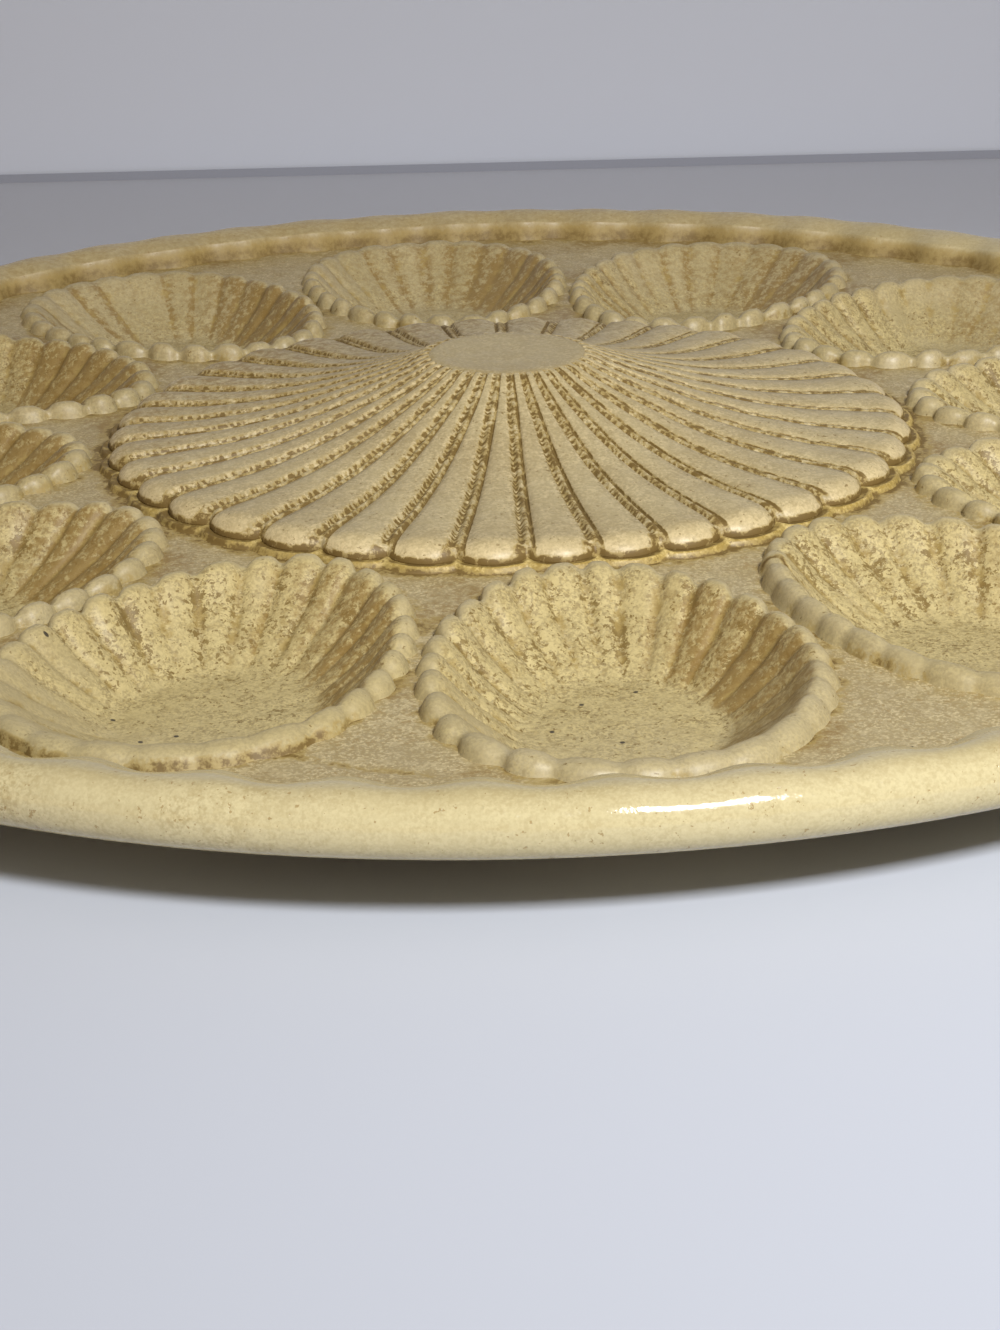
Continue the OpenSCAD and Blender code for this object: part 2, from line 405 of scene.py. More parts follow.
# Share by which the lip is higher towards the dome and lower towards the rim
LIP_LEAN = 0.12
# How strongly golden glaze runs down the outside of a well's lip towards the rim
RUNS = {0: -0.3, 1: 0.5, 10: 0.2, 11: 0.9}
# The least amber in the glaze of a well. The first and the last well have none, and the last
# is creamier all over.
TINT = 0.06
PALE = {0: -TINT, 11: -TINT}
CREAMIER = {11: 0.45}
# Cracks in the glaze of the second well, and pinholes, in the photograph's own axes
CRACKED_WELL = 1
CRACK_W = 0.55
CRACKS = (
    ((43.1, -85.0), (46.2, -85.8), (47.0, -88.4), (48.0, -92.9), (49.1, -96.9)),
    ((52.8, -105.2), (54.8, -107.3), (56.9, -106.6), (59.1, -105.1)),
)
PITS = (
    (10.7, -117.7), (5.7, -128.1), (19.7, -113.4), (22.3, -140.4), (16.6, -133.0), (17.3, -140.2),
    (-53.9, -126.1), (-64.9, -119.2), (-59.3, -128.5), (-76.0, -110.7),
)


# A distance that is longer than any that is measured
FAR = 99.0


def apart(x, y, course):
    """Distance of flat points from a course of points in the photograph's own axes."""
    least = np.full(len(x), FAR)
    for start, end in zip(course[:-1], course[1:]):
        p, q = turned(*start, 0), turned(*end, 0)
        run = (q.x - p.x) ** 2 + (q.y - p.y) ** 2
        t = np.clip(((x - p.x) * (q.x - p.x) + (y - p.y) * (q.y - p.y)) / run, 0, 1)
        least = np.minimum(least, np.hypot(x - p.x - t * (q.x - p.x), y - p.y - t * (q.y - p.y)))
    return least


# The outside of a well under the ground: distance in from its edge, and tenths of the way down
WELL_BELOW = ((0, 0), (1.5, 0.35), (4, 2.0), (7, 4.5), (10, 7.2), (12.5, 9.0), (15, 9.9), (18, 10))


def make_well(k):
    """One oyster well: the beaded lip, the fluted wall, the floor and the outside."""
    turn = 2 * HALF_TURN * k
    n = LOBES * len(LOBE_PLACES)
    crease = crease_depth(LOBES)
    draw = np.random.RandomState(100 + k)
    bead_h = np.repeat(draw.uniform(-0.25, 0.2, LOBES), len(LOBE_PLACES)) * (1 - crease)
    streak = np.repeat(draw.uniform(-0.6, 1.0, LOBES), len(LOBE_PLACES))
    streak = np.clip(np.maximum(streak, np.roll(streak, 1)), 0, 1)
    middle_x, middle_y = spin(RING_R, turn)
    right = turned(1, 0, 0)
    skin = Skin()
    rings = []
    # The rings lie closer together on the lip than on the wall and the floor
    for inset in np.concatenate([np.linspace(0, 5, 21)[:-1], np.linspace(5, 21, 27)]):
        t = well_turns(k, inset)
        raised = stretch(RAISED, k, t) * float(smooth(inset / 1.8) * (1 - smooth((inset - 2) / 9)))
        eased = float(np.interp(inset, EASE_FROM_MM, EASE_TO_MM))
        steep, gentle = [float(curve(place, WELL_IN_MM, WELL_UP_MM)) for place in (inset, eased)]
        up = steep + (gentle - steep) * np.clip(EASED_ELSEWHERE + stretch(EASED, k, t), 0, 1)
        deep = float(curve(inset, WELL_IN_MM, CREASE_MM))
        x, y = well_plan(k, inset, LOBE_D * max(0.0, 1 - inset / 3.2))
        outwards = (x * math.sin(turn) - y * math.cos(turn) - RING_R) / WELL_B
        up = np.where(up > 0, up * (1 - LIP_LEAN * outwards), up)
        # The lobes fade down the wall, and the floor is a little uneven
        fade = float(smooth((inset - 3) / 15))
        share = relief(k, t)
        bead = bead_h * share * min(1.0, inset / 1.5) * (1 - fade)
        z = GROUND_Z + up + raised - deep * crease * share + bead
        z = z + sway(x, y) + 0.15 * fade * ripple(x, y, 9, 50 + k)
        crack = np.zeros(n)
        for course in CRACKS if k == CRACKED_WELL else ():
            crack = np.maximum(crack, np.exp(-(apart(x, y, course) / CRACK_W) ** 2))
        below_head = float(smooth((inset - 2.4) / 2.6))
        wall = below_head * float(1 - smooth((inset - 12) / 9))
        outer = float(1 - smooth((inset - 0.2) / 1.4))
        foot = math.exp(-((inset - 13) / 4.5) ** 2)
        side = ((x - middle_x) * right.x + (y - middle_y) * right.y) / WELL_A
        patchy = np.clip(0.5 + 0.65 * ripple(x, y, 7, 70 + k), 0, 1)
        # Golden brown runs in patches down the outside of the lip, most of it towards the rim
        here = np.clip(0.5 * ripple(x, y, 30, 95) + RUNS.get(k, -0.2) * smooth(outwards / 0.7), 0, 1)
        pool_and_shade = outer * (0.75 * here + 0.3 * patchy * crease)
        pool_and_shade = pool_and_shade + wall * crease ** 0.7 * (0.08 + 0.3 * patchy) * float(smooth((inset - 1) / 3))
        # Amber glaze gathers on the walls that face left, most of it in the creases, and painted shade
        # darkens those walls, which face away from the lamp
        shaded_side = smooth((side + 0.15) / 0.9)
        stain_and_shade = below_head * shaded_side * (0.57 + 0.65 * crease ** 0.7 * streak + 0.5 * foot * streak)
        stain_and_shade = stain_and_shade * float(1 - smooth((inset - 14) / 5)) * (1 - 0.6 * smooth((outwards - 0.3) / 0.5))
        stain_and_shade = stain_and_shade + 0.25 * foot * crease ** 0.5 * streak * (1 - shaded_side)
        stain_and_shade = stain_and_shade + (0.22 + 0.6 * crease ** 0.7 * streak * wall) * deeper(x, y) + TINT + PALE.get(k, 0.0)
        # The glaze stays plain on the heads of the lobes, and on the side of the floor towards the rim
        plain_side = smooth((outwards + 0.12 + 0.15 * ripple(x, y, 15, 120 + k)) / 0.5)
        flecked = below_head * (1 - 0.55 * smooth((inset - 8) / 9)) * (1 - 0.9 * plain_side)
        flecked = flecked * (0.9 + 0.3 * ripple(x, y, 13, 110 + k)) * (0.6 + 0.5 * crease ** 0.5)
        flecked = flecked + 0.15 * outer * patchy + 0.2 * float(smooth((inset - 9) / 5))
        thin_and_lit = below_head * (1 - 0.95 * crease * wall) * (1 - 0.9 * plain_side) + CREAMIER.get(k, 0.0)
        rings.append(skin.ring(x, y, z - 0.3 * crack, pool_and_shade + crack, thin_and_lit, flecked, stain_and_shade))
    skin.bands(rings, n)
    skin.cap(rings[-1], n, True)
    below = []
    for inset, down in WELL_BELOW:
        x, y = well_plan(k, inset, LOBE_D if inset == 0 else 0.0)
        z = np.full(n, UNDER_Z - down * (UNDER_Z - BASE_Z) / 10)
        below.append(skin.ring(x, y, z, 0.1 * (inset < 2), 0, 0.2))
    skin.bands(below[::-1], n)
    skin.band(below[0], rings[0], n)
    skin.cap(below[-1], n, False)
    skin.crease(n, rings[0], below[0])
    name = "well_%02d" % (k + 1)
    skin.build("glazed_" + name, "well_glaze", [name])


def make_rim():
    """The rolled rim, from the foot of its scalloped step over the crown and round the outer edge."""
    n = WAVES * WAVE_POINTS
    a = even_turns(n)
    inward = -np.cos(WAVES * (a - WAVE_TURN))
    draw = np.random.RandomState(7)
    uneven = draw.uniform(0.6, 1.25, WAVES)[np.floor(WAVES * a / 2 / math.pi).astype(int)]
    # Each wave has its own height, which changes over three quarters of a wave on either side
    reach = WAVE_POINTS * 3 // 4
    window = np.ones(2 * reach + 1) / (2 * reach + 1)
    uneven = np.convolve(np.concatenate([uneven[-reach:], uneven, uneven[:reach]]), window, "valid")
    foot = step_r(a)
    roll_x = PLATE_R - ROLL_R
    roll_z = CROWN_Z - ROLL_DROP - ROLL_R
    skin = Skin()
    rings = []
    # The first half of the rings climbs the step, and the second half runs out to the crown
    for t in np.concatenate([np.linspace(0, 1, 15)[:-1], np.linspace(1, 2, 19)]):
        step = np.clip(t, 0, 1)
        over = np.clip(t - 1, 0, 1)
        edge = foot + STEP_RUN * step
        r = edge + (roll_x - edge) * over
        z_step = GROUND_Z + STEP_H * smooth(step)
        z = z_step + (roll_z + ROLL_R - GROUND_Z - STEP_H) * np.sin(over * math.pi / 2)
        bulge = CROWN_SWING * inward * uneven * smooth(step) * (1 - 0.25 * over)
        x, y = spin(r, a)
        z = z + bulge + sway(x, y)
        matt = 1 - smooth(over * 1.2)
        pool_and_shade = 0.7 * (1 - smooth((step - 0.35) * 1.5)) + 0.2 * (1 - smooth(step)) * (1 - inward) / 2
        thin_and_lit = 0.25 * smooth(step) * (1 - over)
        rings.append(skin.ring(x, y, z, pool_and_shade, thin_and_lit, 0.1, 0.5 * deeper(x, y), matt))
    # The roll turns from straight up to straight down. On its left it has more flecks, and painted shade
    # makes it less cream and more amber there, away from the lamp
    for turn in np.linspace(0, 180, 30)[1:]:
        c, d = math.sin(math.radians(turn)), math.cos(math.radians(turn))
        r = np.full(n, roll_x + ROLL_R * c)
        x, y = spin(r, a)
        stay = max(0.0, 1 - turn / 110)
        z = roll_z + ROLL_R * d + CROWN_SWING * inward * uneven * 0.75 * stay
        z = z + sway(x, y) * max(0.0, 1 - turn / 120)
        # Cream on the outer face of the roll: partly thinner glaze, partly painted light on that face
        thin_and_lit = float(smooth((turn - 5) / 50) * (1 - smooth((turn - 100) / 50)))
        flecks_and_shade_left = 0.75 * smooth((-x - 30) / 110) * np.clip(0.6 + ripple(x, y, 30, 61), 0, 1)
        stain_and_shade = 0.4 * deeper(x, y) + 0.22 * smooth((-x - 20) / 120)
        rings.append(skin.ring(x, y, z, 0.0, thin_and_lit * (1 - 0.5 * flecks_and_shade_left), 0.15 + flecks_and_shade_left, stain_and_shade))
    # The underside slopes from the roll down to the underside of the ground
    roll_low = roll_z - ROLL_R
    for r_in, down in ((roll_x - 3, 0.25), (roll_x - 6, 0.75), (STEP_IN_R + 4, 1.2), (STEP_IN_R + 3, 1.3)):
        low = roll_low - down * (roll_low - UNDER_Z) / 1.3
        rings.append(skin.ring(*spin(np.full(n, float(r_in)), a), low, 0, 0.2, 0.2))
    rings.append(skin.ring(*spin(foot, a), UNDER_Z, 0.1, 0.1, 0.2))
    skin.bands(rings[::-1] + rings[-1:], n)
    skin.crease(n, rings[0], rings[-1])
    skin.build("glazed_rim", "rim_glaze", ["outer_rim"])


# Depth of the groove between two ribs, across it: a groove, a narrow strip and a finer groove
GROOVE_AT = [-1.0, -0.82, -0.5, -0.15, 0.05, 0.25, 0.42, 0.62, 0.76, 0.9, 1.0]
GROOVE_MM = [0.0, 0.45, 1.1, 0.6, 0.25, 0.15, 0.3, 0.85, 0.95, 0.45, 0.0]
DASH_MM = 1.7
# Height of the dome over its tier, by the radius
DOME_AT = [CROWN_R, 20.5, 25, 31, 35, 39, 46.8, 54.6, 62.4, 70, 75, 82]
DOME_UP = [15.2, 13.3, 11.6, 9.5, 8.2, 7.0, 5.1, 3.8, 3.0, 2.6, 2.4, 2.2]
DOME_LIFT = 0.95
# How far the shell and the disc stay below the top of the solid
DOME_ROOM = 0.05
CROWN_ROOM = 0.02
# The hollow under the dome: radius and height over the tier's top
HOLLOW = ((HOLLOW_R, 0.0), (40, 3.2), (31, 5.3), (22, 7.9), (CROWN_R + 1, 9.6), (CROWN_R, 9.7))
# The rows of points from the rib ends inwards close up where the ends are rounded
END_ROWS = [2.8, 2.2, 1.7, 1.2, 0.8, 0.5, 0.28, 0.12, 0.03, 0]


def make_dome():
    """The ribbed shell: broad ribs, with a groove, a narrow strip and a groove between two."""
    n = len(dome_ring(DOME_R)[0])
    skin = Skin()
    rings = []
    draw = np.random.RandomState(21)
    wobble = draw.uniform(0.8, 1.2, RIBS)
    start = draw.uniform(0, 2 * math.pi, RIBS)
    run = DOME_R - CROWN_R
    for out in 1 - np.concatenate([np.linspace(run, 3.4, 122), END_ROWS]) / run:
        a, phase, place, rib = dome_ring(CROWN_R + run * out)
        end = rib_end_r(phase)
        r = CROWN_R + (end - CROWN_R) * out
        base = TIER_Z + DOME_LIFT + curve(r, DOME_AT, DOME_UP)
        near = np.clip((end - r) / 5.5, 0, 1)
        drop = 3.1 * (1 - np.sqrt(np.clip(1 - (1 - near) ** 2.4, 0, 1)))
        back = (place > 1) * 1.0
        size = np.clip(r / 55, 0.35, 1.0)
        # A row of dashes runs down the left groove, and a line of brown glaze, partly painted shade, down
        # the right one
        beat = 2 * math.pi * r / DASH_MM + start[rib] + 1.6 * ripple(r, rib * 31.0, 6, 9)
        beat = beat + 1.8 * place
        dash = smooth(0.62 + 0.75 * np.sin(beat))
        left = np.exp(-(np.abs(place + 0.5) / 0.42) ** 3) * (1 - back)
        right = np.exp(-(np.abs(place - 0.72) / 0.3) ** 3) * (1 - back)
        groove = curve(place, GROOVE_AT, GROOVE_MM) * (1 - back)
        groove = groove * (1 - 0.15 * left * (1 - dash))
        crown = 0.34 * (1 - (2 * np.abs(phase - 1)) ** 2) * back * np.clip(r / DOME_R, 0.3, 1)
        flat_end = smooth(near * 1.4)
        z = base - drop + crown * wobble[rib] * flat_end - groove * size * flat_end
        x, y = spin(r, a)
        z = np.minimum(z + sway(x, y), DOME_Z - DOME_ROOM)
        strip = np.exp(-((place - 0.12) / 0.33) ** 2) * (1 - back)
        inner = 0.35 + 0.65 * smooth(near * 3)
        pool_and_shade = (0.3 * left + right * (0.72 + 0.33 * r / DOME_R)) * inner
        # Brown glaze under the rounded rib ends, with painted shade where they overhang
        pool_and_shade = np.maximum(pool_and_shade, smooth((drop - 1.8) / 0.8) * (1 - 0.5 * strip))
        # Brown glaze stands in the notches between the rib ends
        pool_and_shade = np.maximum(pool_and_shade, 0.6 * (1 - back) * smooth((r - DOME_R + 4.5) / 3.5))
        pool_and_shade = np.maximum(pool_and_shade, 0.46 * strip)
        # Cream on the rib ends, where the glaze is thin, and between the dashes; both are partly painted
        # light
        thin_and_lit = 0.9 * smooth(1 - near * 1.1) * back + left * (1 - dash) * 0.3
        flecked = 0.3 + 0.4 * (1 - back)
        stain_and_shade = 0.6 * deeper(x, y)
        rings.append(skin.ring(x, y, z, np.clip(pool_and_shade, 0, 1), thin_and_lit, flecked, stain_and_shade, 0.0, left * inner, beat))
    a, phase = dome_ring(DOME_R)[:2]
    low = skin.ring(*spin(rib_end_r(phase) - 0.3, a), TIER_Z - 0.9, 1.0, 0, 0.3)
    inside = []
    for r, up in HOLLOW:
        inside.append(skin.ring(*spin(np.full(n, float(r)), a), TIER_Z + up, 0, 0, 0.2))
    skin.bands(rings[:1] + inside[::-1] + [low] + rings[::-1], n)
    skin.crease(n, rings[-1], low, inside[0], inside[-1], rings[0])
    skin.build("glazed_dome", "dome_glaze", ["centre_dome"])


# The tier's edge, from its foot inwards: share of the way in, share of the height, and pooled glaze
TIER_EDGE = (
    (0.0, 0.0, 0.9), (0.06, 0.08, 0.9), (0.13, 0.32, 0.6), (0.21, 0.66, 0.3), (0.30, 0.9, 0.1),
    (0.38, 1.0, 0.15), (0.46, 1.0, 0.4), (0.54, 0.98, 0.8), (0.62, 0.94, 1.0), (0.8, 0.88, 1.0),
    (1.0, 0.84, 1.0), (1.15, 0.8, 1.0),
)


def make_tier():
    """The thin scalloped tier that the shell stands on."""
    a, phase, place = dome_ring(DOME_R)[:3]
    n = len(a)
    end, out = rib_end_r(phase), tier_r(phase)
    skin = Skin()
    rings = []
    bar = np.exp(-((place - 0.1) / 0.45) ** 2) * (place < 2)
    right = turned(1, 0, 0)
    # Brown pooled glaze, with painted shade, on the tier's left side, away from the lamp
    brown_and_shade_left = smooth(-np.sin(a) * right.x + np.cos(a) * right.y)
    for t, up, pool_and_shade in TIER_EDGE:
        r = out + (end - out) * t
        x, y = spin(r, a)
        lift = bar * smooth((t - 0.3) / 0.3) * 0.35
        z = GROUND_Z + (TIER_Z - GROUND_Z) * up + sway(x, y) + lift
        uneven = (pool_and_shade + 0.95 * brown_and_shade_left * (1 - pool_and_shade)) * (0.85 + 0.35 * ripple(x, y, 6, 41))
        rings.append(skin.ring(x, y, z, uneven * (1 - 0.9 * bar * (t > 0.2)), bar * 0.7, 0.25))
    # Over its top, which the dome covers, and down the wall of the hollow
    for out_by, z in ((12, TIER_Z - 1.2), (0, TIER_Z - 0.02), (0.6, UNDER_Z + 0.8), (2.0, UNDER_Z)):
        rings.append(skin.ring(*spin(np.full(n, HOLLOW_R + out_by), a), z, 0, 0, 0.2))
    rings.append(skin.ring(*spin(out, a), UNDER_Z, 0, 0, 0.2))
    skin.bands(rings + rings[:1], n)
    skin.crease(n, rings[0], rings[-1])
    skin.build("glazed_tier", "gold_glaze", ["dome_tier"])


# The disc: radius and how far its face lies below the top of the dome, and the faint ring round it
RING_LINE_R = 15.3
RING_LINE_W = 0.5
DISC = ((CROWN_R, 0.35), (15.0, 0.20), (14.2, 0.12), (13, 0.16), (10, 0.26), (6, 0.34), (2.5, 0.38))


def make_crown():
    """The smooth disc on top, a little dished, with a faint ring round it."""
    a = dome_ring(CROWN_R)[0]
    n = len(a)
    skin = Skin()
    rings = []
    for r, dip in DISC:
        x, y = spin(np.full(n, float(r)), a)
        z = DOME_Z - dip + sway(x, y) * (1 if r < CROWN_R else 0)
        pool_and_shade = 0.25 * np.exp(-((r - RING_LINE_R) / RING_LINE_W) ** 2)
        rings.append(skin.ring(x, y, np.minimum(z, DOME_Z - CROWN_ROOM), pool_and_shade, 0.0, 0.15))
    skin.bands(rings, n)
    skin.cap(rings[-1], n, True)
    low = skin.ring(*spin(np.full(n, CROWN_R), a), DOME_Z - DOME_T, 0, 0, 0.2)
    skin.band(low, rings[0], n)
    skin.cap(low, n, False)
    skin.crease(n, rings[0], low)
    skin.build("glazed_crown", "ground_glaze", ["dome_crown"])


def make_foot():
    """The unglazed foot ring, with rounded lower edges."""
    n = 360
    a = even_turns(n)
    flare, rounding = FOOT_FLARE / 2, FOOT_ROUND
    # Down one side: how far the section stands out from the foot's width, and its height
    side = [
        (flare, UNDER_Z), (flare * 0.6, UNDER_Z * 0.7), (flare * 0.2, UNDER_Z * 0.35),
        (0.0, rounding), (-0.35 * rounding, 0.35 * rounding), (-rounding, 0.0),
    ]
    section = [(FOOT_R + out, z) for out, z in side] + [(FOOT_R - FOOT_W - out, z) for out, z in side[::-1]]
    skin = Skin()
    rings = [skin.ring(*spin(np.full(n, r), a), z, 0, 0, 0.2) for r, z in section]
    skin.bands(rings[::-1] + rings[-1:], n)
    skin.crease(n, rings[0], rings[-1])
    skin.build("bare_foot_ring", "bare_foot", ["foot_ring"])


# How many sides of a loop are looked at together
LOOP_BLOCK = 400


def contains(loop, points):
    """Which points lie inside the closed loop."""
    x, y = points[:, 0][:, None], points[:, 1][:, None]
    out = np.zeros(len(points), int)
    nxt = np.roll(loop, -1, 0)
    for block in range(0, len(loop), LOOP_BLOCK):
        p, q = loop[block:block + LOOP_BLOCK], nxt[block:block + LOOP_BLOCK]
        cross = (p[:, 1] > y) != (q[:, 1] > y)
        rise = np.where(q[:, 1] == p[:, 1], 1.0, q[:, 1] - p[:, 1])
        at = (q[:, 0] - p[:, 0]) * (y - p[:, 1]) / rise + p[:, 0]
        out += (cross & (x < at)).sum(1)
    return out % 2 == 1


# Course of the fold in the ground's glaze, in the photograph's own axes
FOLD = ((-32.1, -157.8), (-25.5, -161.0), (-18.9, -163.8), (-12.4, -165.6))
# Distance between the ground's points, and how many of them are measured at a time
GRID = 1.3
BLOCK = 4000


def make_field():
    """The flat ground between dome, wells and rim, meshed to meet each of them point for point."""
    a = even_turns(WAVES * WAVE_POINTS)
    loops = [np.stack(spin(step_r(a), a), -1)]
    a, phase = dome_ring(DOME_R)[:2]
    loops.append(np.stack(spin(tier_r(phase), a), -1))
    for k in range(WELLS):
        loops.append(np.stack(well_plan(k, 0.0, LOBE_D), -1))
    # A triangular grid of points, kept where it is clear of the loops
    side = int(PLATE_R / GRID) + 2
    gx, gy = np.meshgrid(np.arange(-side, side + 1), np.arange(-side, side + 1))
    px = (gx + 0.5 * (gy % 2)) * GRID
    py = gy * GRID * math.sqrt(3) / 2
    px, py = px.ravel(), py.ravel()
    r = np.hypot(px, py)
    keep = (r < STEP_IN_R - 0.6) & (r > DOME_R + TIER_W + 0.6)
    for k in range(WELLS):
        c = 2 * HALF_TURN * k
        v = px * math.sin(c) - py * math.cos(c) - RING_R
        w = px * math.cos(c) + py * math.sin(c)
        keep &= (v / (WELL_B + 0.5)) ** 2 + (w / (WELL_A + 1.4)) ** 2 > 1
    inner = np.stack([px[keep], py[keep]], -1)
    flat = np.concatenate(loops + [inner])
    edges, start = [], 0
    for loop in loops:
        i = np.arange(len(loop))
        edges.append(np.stack([start + i, start + (i + 1) % len(loop)], -1))
        start += len(loop)
    edges = np.concatenate(edges)
    out = delaunay_2d_cdt([Vector(p) for p in flat.tolist()], edges.tolist(), [], 0, 1e-5, True)
    verts = np.array([tuple(v) for v in out[0]])
    tri = np.array([f for f in out[2] if len(f) == 3])
    mid = verts[tri].mean(1)
    keep = np.ones(len(tri), bool)
    for loop, inside in [(loops[0], True)] + [(loop, False) for loop in loops[1:]]:
        keep &= contains(loop, mid) == inside
    tri = tri[keep]
    used = np.unique(tri)
    renumber = np.full(len(verts), -1)
    renumber[used] = np.arange(len(used))
    tri = renumber[tri]
    verts = verts[used]
    area = np.cross(verts[tri[:, 1]] - verts[tri[:, 0]], verts[tri[:, 2]] - verts[tri[:, 0]])
    tri[area < 0] = tri[area < 0][:, ::-1]
    m = len(verts)
    x, y = verts[:, 0], verts[:, 1]
    r = np.hypot(x, y)
    # Distance of each point from the nearest edge of the ground
    gap = np.full(m, FAR)
    for loop in loops:
        for block in range(0, m, BLOCK):
            some = slice(block, block + BLOCK)
            d = np.hypot(x[some, None] - loop[None, :, 0], y[some, None] - loop[None, :, 1])
            gap[some] = np.minimum(gap[some], d.min(1))
    skin = Skin()
    patchy = np.clip(0.5 + 0.7 * ripple(x, y, 9, 33), 0, 1)
    pool_and_shade = patchy * (0.5 * np.exp(-gap / 0.7) + 0.2 * np.exp(-gap / 2.0))
    from_tier = np.abs(r - DOME_R - TIER_W)
    # Amber in patches near the edges of the ground, darker close to the tier and towards the back left
    ground_amber = 0.2 * np.exp(-from_tier / 8) + 0.7 * np.clip(ripple(x, y, 24, 35), 0, 1) * np.exp(-gap / 7)
    ground_amber = ground_amber + 0.25 * deeper(x, y)
    fold = np.exp(-(apart(x, y, FOLD) / 0.8) ** 2)
    flecked = 0.4 + 0.6 * np.exp(-gap / 4) * np.clip(0.4 + ripple(x, y, 15, 37), 0, 1)
    # A brown line of glaze lies round the foot of the tier
    pool_and_shade = pool_and_shade + 0.8 * np.exp(-from_tier / 1.3)
    skin.ring(x, y, GROUND_Z + sway(x, y) - 0.25 * fold, pool_and_shade + 0.6 * fold, 0.0, flecked, ground_amber)
    skin.ring(x, y, UNDER_Z, 0.0, 0.0, 0.2)
    skin.faces.append(tri)
    skin.faces.append(tri[:, ::-1] + m)
    # A side that only one triangle has lies on the rim of the ground, and gets a wall
    pair = np.concatenate([tri[:, [0, 1]], tri[:, [1, 2]], tri[:, [2, 0]]])
    code = pair[:, 0] * m + pair[:, 1]
    back = pair[:, 1] * m + pair[:, 0]
    rim = pair[~np.isin(code, back)]
    skin.faces.append(np.stack([rim[:, 1], rim[:, 0], rim[:, 0] + m, rim[:, 1] + m], -1))
    skin.sharp.append(rim)
    skin.sharp.append(rim + m)
    skin.build("glazed_ground", "ground_glaze", ["well_field"])


# Places of the two colours among a mix node's inputs, and of the colour among its outputs
MIX_FIRST, MIX_SECOND, MIX_OUT = 6, 7, 2


class Paint:
    """Short calls for one material's nodes."""

    def __init__(self, name):
        self.material = bpy.data.materials.new(name)
        self.material.use_nodes = True
        self.tree = self.material.node_tree
        self.shader = self.tree.nodes["Principled BSDF"]
        self.spot = self.node("ShaderNodeTexCoord").outputs["Object"]

    def node(self, kind, **settings):
        """A new node with these settings."""
        made = self.tree.nodes.new(kind)
        for key, value in settings.items():
            setattr(made, key, value)
        return made

    def link(self, source, target):
        """Sets the target socket to a number or a colour, or joins it to another socket."""
        if isinstance(source, (int, float)):
            target.default_value = source
        elif isinstance(source, tuple):
            target.default_value = source + (1.0,) if len(source) == 3 else source
        else:
            self.tree.links.new(source, target)

    def value(self, name):
        """What the mesh holds under that name at each point."""
        return self.node("ShaderNodeAttribute", attribute_name=name).outputs["Fac"]

    def math(self, kind, a, b=0.0, c=0.0):
        """One step of arithmetic."""
        made = self.node("ShaderNodeMath", operation=kind)
        for socket, source in zip(made.inputs, (a, b, c)):
            self.link(source, socket)
        return made.outputs[0]

    def fit(self, source, low, high, to_low=0.0, to_high=1.0):
        """Maps source from low..high to to_low..to_high, with level ends."""
        made = self.node("ShaderNodeMapRange", interpolation_type="SMOOTHSTEP")
        for key, item in zip(("Value", "From Min", "From Max", "To Min", "To Max"),
                             (source, low, high, to_low, to_high)):
            self.link(item, made.inputs[key])
        return made.outputs[0]

    def noise(self, size, detail=2.0, rough=0.5, shift=0.0):
        """Soft noise with features of about size millimetres."""
        made = self.node("ShaderNodeMapping")
        self.link(self.spot, made.inputs["Vector"])
        made.inputs["Scale"].default_value = (1.0 / (size * MM),) * 3
        made.inputs["Location"].default_value = (shift, shift * 0.7, shift * 1.3)
        noise = self.node("ShaderNodeTexNoise")
        noise.inputs["Scale"].default_value = 1.0
        noise.inputs["Detail"].default_value = detail
        noise.inputs["Roughness"].default_value = rough
        self.link(made.outputs[0], noise.inputs["Vector"])
        return noise.outputs["Fac"]

    def bump(self, height, strength, depth):
        """Tilts the surface by the slope of height, whose steps are that many millimetres deep."""
        made = self.node("ShaderNodeBump")
        self.link(strength, made.inputs["Strength"])
        self.link(depth * MM, made.inputs["Distance"])
        self.link(height, made.inputs["Height"])
        self.link(made.outputs[0], self.shader.inputs["Normal"])

    def mix(self, share, a, b):
        """Colour a, with that share of colour b."""
        made = self.node("ShaderNodeMix", data_type="RGBA")
        self.link(share, made.inputs[0])
        self.link(a, made.inputs[MIX_FIRST])
        self.link(b, made.inputs[MIX_SECOND])
        return made.outputs[MIX_OUT]


# Colours of flecks, stains and pools in the glaze
OLIVE = (0.18, 0.118, 0.03)
RUST = (0.33, 0.235, 0.095)
GOLD = (0.355, 0.26, 0.085)
AMBER = (0.235, 0.148, 0.038)
BROWN = (0.15, 0.092, 0.02)
BLACK = (0.03, 0.025, 0.02)
GLAZE_IOR = 1.5
# Size of the cells that may hold a pinhole, and the radii between which a placed pinhole fades out
PINHOLE_CELL = 9.0
PIT_R, PIT_EDGE_R = 0.33, 0.5


